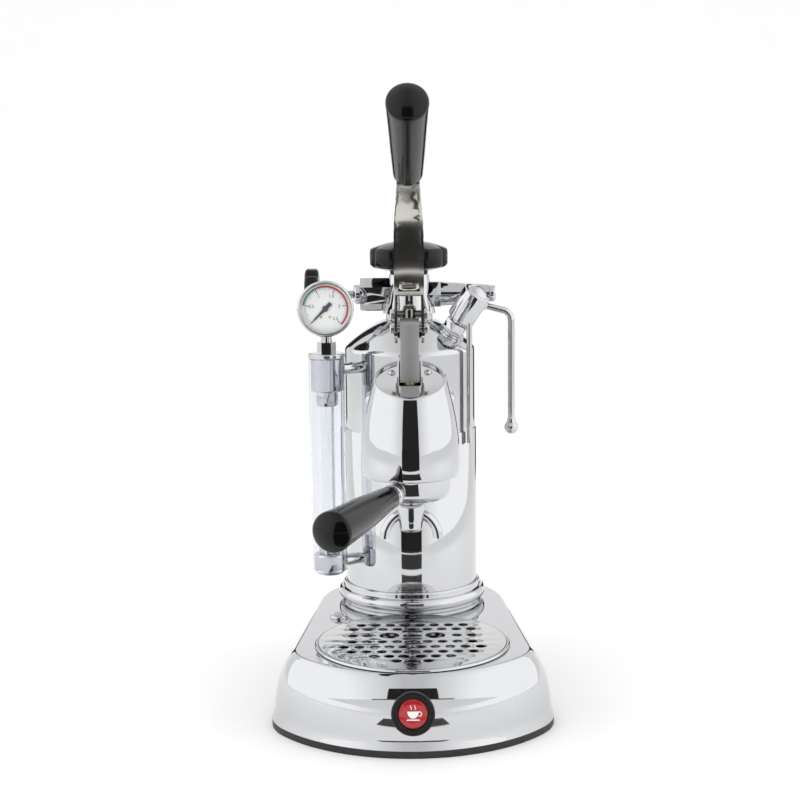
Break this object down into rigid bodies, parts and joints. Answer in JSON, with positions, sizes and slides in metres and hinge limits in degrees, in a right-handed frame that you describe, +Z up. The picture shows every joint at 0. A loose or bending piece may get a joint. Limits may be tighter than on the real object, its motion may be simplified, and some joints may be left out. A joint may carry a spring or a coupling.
{
  "type": "lever espresso machine",
  "caption": "Chromed manual lever espresso machine: boiler with filler cap, sight glass and gauge, steam wand, lever-driven piston group, portafilter, drip tray on an oval base.",
  "frame": {"origin": "centre of the base's footprint on the table, at the underside of the base", "axes": "+Z up, -Y the front where the lever and the portafilter are, +X the steam wand's side"},
  "size_m": [0.198, 0.3221, 0.4389],
  "materials": {
    "chrome": "polished chrome plate",
    "nickel": "polished nickel plate, slightly warm",
    "steel": "stainless steel",
    "brass": "turned brass",
    "black_gloss": "glossy black plastic",
    "red": "red enamel disc, plain",
    "lamp": "frosted clear plastic",
    "rubber": "black rubber",
    "clear": "clear",
    "dial": "white printed dial",
    "needle": "black paint"
  },
  "bodies": {
    "machine": {"base_shell": "chrome", "base_skirt": "black_gloss", "badge_bezel": "black_gloss", "badge_disc": "red", "lamp_bezel": "chrome", "lamp_lens": "lamp", "switch_housing": "black_gloss", "mains_inlet": "black_gloss", "boiler_collar": "chrome", "boiler_lower": "chrome", "boiler_upper": "chrome", "boiler_floor": "steel", "heating_element": "steel", "boiler_neck": "chrome", "valve_body": "chrome", "gland_nut": "chrome", "steam_arm": "chrome", "arm_end_nut": "chrome", "relief_nut": "chrome", "relief_hood": "chrome", "vent_pipe": "chrome", "glass_top_fitting": "chrome", "glass_bottom_fitting": "chrome", "glass_nuts": "chrome", "glass_tube": "clear", "glass_guard": "clear", "gauge_stem": "chrome", "gauge_case": "chrome", "gauge_bezel": "chrome", "gauge_lens": "clear", "gauge_dial": "dial", "group_body": "chrome", "bell": "chrome", "bell_cover": "chrome", "cover_screws": "chrome", "group_bolts": "chrome", "group_gasket": "rubber", "shower_screen": "steel"},
    "lever": {"lever_arm": "nickel", "fulcrum_pin": "chrome", "rod_pin": "chrome", "lever_grip": "black_gloss"},
    "piston_rod": {"piston": "brass", "piston_seals": "rubber", "lever_link": "chrome"},
    "basket_carrier": {"filter_basket": "steel"},
    "portafilter": {"filter_cup": "chrome", "ferrule": "chrome", "filter_grip": "black_gloss", "double_spout": "chrome"},
    "cap_washer": {"cap_gasket": "rubber"},
    "cap": {"cap_knob": "black_gloss", "cap_plug": "brass"},
    "steam_tap": {"steam_knob": "black_gloss", "valve_spindle": "steel"},
    "wand": {"steam_wand": "chrome"},
    "rocker": {"switch_rocker": "black_gloss"},
    "pointer": {"gauge_needle": "needle"},
    "tray": {"drip_tray": "chrome"},
    "grille": {"drip_grille": "steel"}
  },
  "joints": [
    {"name": "lever_swing", "type": "hinge", "parent": "machine", "child": "lever", "pos_m": [0, -0.03, 0.2834], "axis": [1, 0, 0], "range_deg": [-62, 28]},
    {"name": "piston_slide", "type": "slide", "parent": "machine", "child": "piston_rod", "axis": [0, 0, 1], "range_m": [-0.0087, 0.0192]},
    {"name": "basket_drop", "type": "slide", "parent": "machine", "child": "basket_carrier", "axis": [0, 0, -1], "range_m": [0, 0.022]},
    {"name": "portafilter_turn", "type": "hinge", "parent": "basket_carrier", "child": "portafilter", "pos_m": [0, -0.048, 0.17], "axis": [0, 0, 1], "range_deg": [-30, 22]},
    {"name": "cap_lift", "type": "slide", "parent": "machine", "child": "cap_washer", "axis": [0, 0, 1], "range_m": [0, 0.008]},
    {"name": "cap_turn", "type": "hinge", "parent": "cap_washer", "child": "cap", "pos_m": [0, 0.063, 0.316], "axis": [0, 0, 1], "range_deg": [0, 720]},
    {"name": "steam_tap_turn", "type": "hinge", "parent": "machine", "child": "steam_tap", "pos_m": [-0.07, 0.063, 0.2895], "axis": [-1, 0, 0], "range_deg": [0, 300]},
    {"name": "wand_swivel", "type": "hinge", "parent": "machine", "child": "wand", "pos_m": [0.056, 0.063, 0.2806], "axis": [0, 0, 1], "range_deg": [-60, 60]},
    {"name": "rocker_tilt", "type": "hinge", "parent": "machine", "child": "rocker", "pos_m": [0.028, 0.1362, 0.028], "axis": [1, 0, 0], "range_deg": [-8, 8]},
    {"name": "pointer_swing", "type": "hinge", "parent": "machine", "child": "pointer", "pos_m": [-0.061, 0.0099, 0.284], "axis": [0, 1, 0], "range_deg": [0, 270], "stiffness_Nm_per_rad": 0.00001, "springref_deg": -11.46},
    {"name": "tray_lift", "type": "slide", "parent": "machine", "child": "tray", "axis": [0, 0, 1], "range_m": [0, 0.032]},
    {"name": "grille_lift", "type": "slide", "parent": "tray", "child": "grille", "axis": [0, 0, 1], "range_m": [0, 0.012]}
  ],
  "couplings": [
    {"joint": "piston_slide", "follows": "lever_swing", "m_per_rad": -0.0176},
    {"joint": "cap_lift", "follows": "cap_turn", "m_per_rad": 0.0006366}
  ]
}
